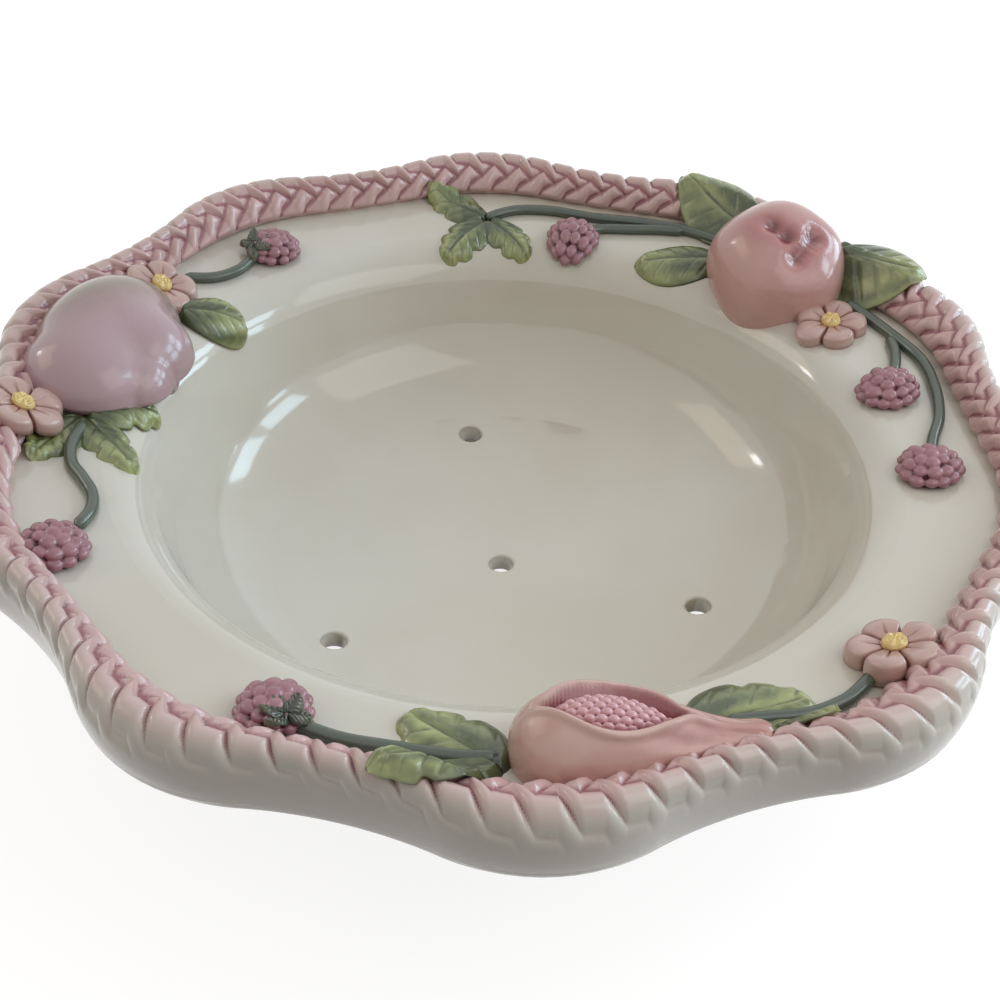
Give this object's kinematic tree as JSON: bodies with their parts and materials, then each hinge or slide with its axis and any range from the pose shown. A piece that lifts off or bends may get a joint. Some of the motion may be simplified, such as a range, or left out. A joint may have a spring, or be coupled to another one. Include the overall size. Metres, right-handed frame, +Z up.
{
  "type": "berry colander bowl",
  "caption": "Round glazed earthenware colander bowl with drain holes, a scalloped rope-edged rim and fruit sprigs in relief, for rinsing and serving berries.",
  "frame": {"origin": "middle of the foot ring's underside, on the table", "axes": "+Z up out of the bowl, -Y towards the viewer of the picture"},
  "size_m": [0.2796, 0.284, 0.0893],
  "materials": {
    "cream_glaze": "glossy glaze",
    "rope_pink": "glossy glaze",
    "seed_pink": "glossy glaze",
    "peach_mauve": "glossy glaze",
    "apple_pink": "glossy glaze",
    "fig_rose": "glossy glaze",
    "eye_yellow": "glossy glaze",
    "blossom_pink": "glossy glaze",
    "berry_rose": "glossy glaze",
    "calyx_green": "glossy glaze",
    "vine_green": "glossy glaze",
    "leaf_green": "glossy glaze"
  },
  "bodies": {
    "root": {"apple": "apple_pink", "apple_blossom": "blossom_pink", "apple_blossom_eye": "eye_yellow", "apple_left_leaf": "leaf_green", "apple_right_leaf": "leaf_green", "apple_top_leaf": "leaf_green", "back_berry": "berry_rose", "back_branch": "vine_green", "back_trefoil_left": "leaf_green", "back_trefoil_outer": "leaf_green", "back_trefoil_right": "leaf_green", "back_vine": "vine_green", "bowl_body": "cream_glaze", "fig": "fig_rose", "fig_lower_left_leaf": "leaf_green", "fig_lower_right_leaf": "leaf_green", "fig_seeds": "seed_pink", "fig_upper_left_leaf": "leaf_green", "fig_upper_right_leaf": "leaf_green", "front_berry": "berry_rose", "front_blossom": "blossom_pink", "front_blossom_eye": "eye_yellow", "front_calyx": "calyx_green", "front_left_vine": "vine_green", "front_right_vine": "vine_green", "left_back_berry": "berry_rose", "left_back_blossom": "blossom_pink", "left_back_blossom_eye": "eye_yellow", "left_back_calyx": "calyx_green", "left_back_vine": "vine_green", "left_edge_blossom": "blossom_pink", "left_edge_blossom_eye": "eye_yellow", "left_front_berry": "berry_rose", "left_front_vine": "vine_green", "peach": "peach_mauve", "peach_leaf": "leaf_green", "peach_trefoil_front": "leaf_green", "peach_trefoil_inner": "leaf_green", "peach_trefoil_outer": "leaf_green", "right_branch": "vine_green", "right_lower_berry": "berry_rose", "right_upper_berry": "berry_rose", "right_vine": "vine_green", "rope_inner_strands": "rope_pink", "rope_outer_strands": "rope_pink"}
  },
  "joints": []
}
